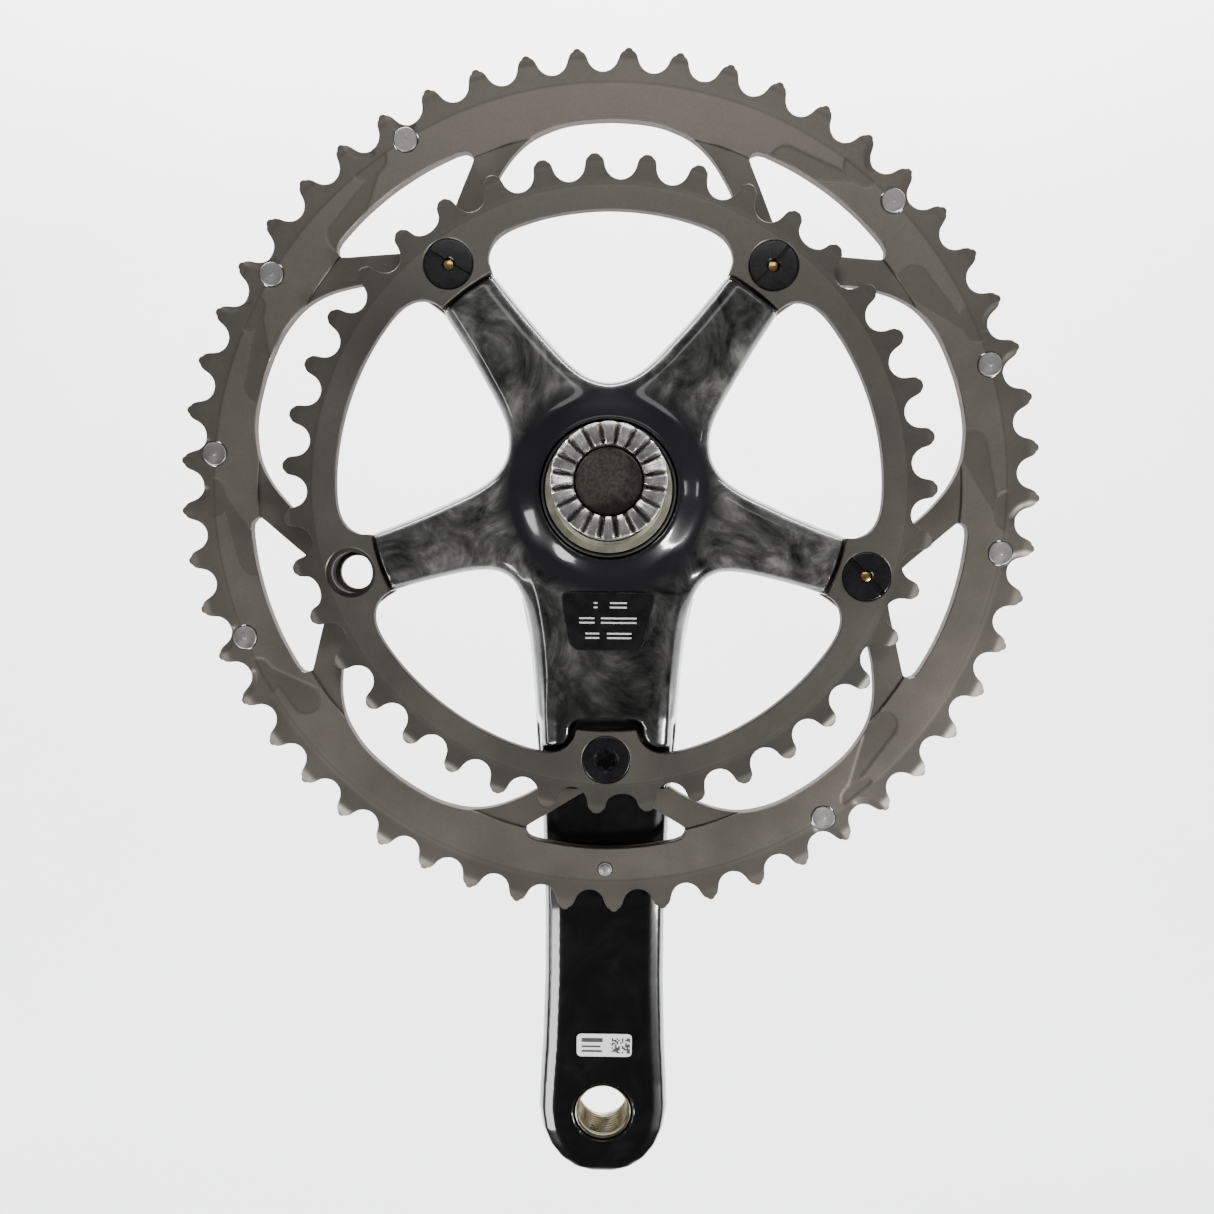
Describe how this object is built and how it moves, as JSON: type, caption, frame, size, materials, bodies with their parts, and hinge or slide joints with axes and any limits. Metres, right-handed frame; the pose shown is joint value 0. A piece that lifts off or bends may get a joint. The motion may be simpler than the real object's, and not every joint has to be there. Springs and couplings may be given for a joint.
{
  "type": "bicycle crankset",
  "caption": "Right-hand double road bicycle crankset: carbon crank arm with five-arm spider, two bolted chainrings and a half spindle with a toothed end face.",
  "frame": {"origin": "on the spindle axis, in the plane of the tooth tops of the spindle's toothed end, which is the middle plane of the bicycle frame", "axes": "+Y along the spindle axis, away from the bicycle, so the toothed end faces -Y; -Z from the spindle to the pedal eye, so the crank arm hangs down; +X to the right when looking along +Y at the inboard side"},
  "size_m": [0.2185, 0.0728, 0.298],
  "materials": {
    "carbon": "carbon fibre reinforced plastic under a clear gloss lacquer",
    "anodised_alloy": "hard anodised brown-grey, finely brushed, satin",
    "spindle_steel": "ground and polished",
    "olive_alloy": "olive anodised, satin",
    "black_alloy": "black anodised, satin",
    "plated_steel": "gold zinc plated",
    "pin_steel": "turned bright steel",
    "black_rubber": "black moulded",
    "bushing_black": "black moulded, matt",
    "plug_plastic": "dark olive-brown, speckled matt",
    "cap_black": "black moulded, semi-gloss",
    "badge_black": "black printed plate, satin",
    "label_white": "white coated label"
  },
  "bodies": {
    "root": {"crank_arm": "carbon", "spindle": "spindle_steel", "spindle_shoulder_ring": "olive_alloy", "spindle_seal": "black_rubber", "bore_plug": "plug_plastic", "dust_cap": "cap_black", "pedal_insert": "olive_alloy", "outer_chainring": "anodised_alloy", "inner_chainring": "anodised_alloy", "arm_screw": "black_alloy", "arm_insert": "pin_steel", "chain_catch_pin": "pin_steel", "badge_plate": "badge_black", "label_sticker": "label_white", "chainring_nut_1": "black_alloy", "chainring_bolt_1": "plated_steel", "chainring_nut_2": "black_alloy", "chainring_bolt_2": "plated_steel", "chainring_nut_3": "black_alloy", "chainring_bolt_3": "plated_steel", "spider_bushing_1": "bushing_black", "spider_bushing_2": "bushing_black", "spider_bushing_3": "bushing_black", "spider_bushing_4": "bushing_black", "shift_pin_1": "pin_steel", "shift_pin_2": "pin_steel", "shift_pin_3": "pin_steel", "shift_pin_4": "pin_steel", "shift_pin_5": "pin_steel", "shift_pin_6": "pin_steel", "shift_pin_7": "pin_steel", "shift_pin_8": "pin_steel"}
  },
  "joints": []
}
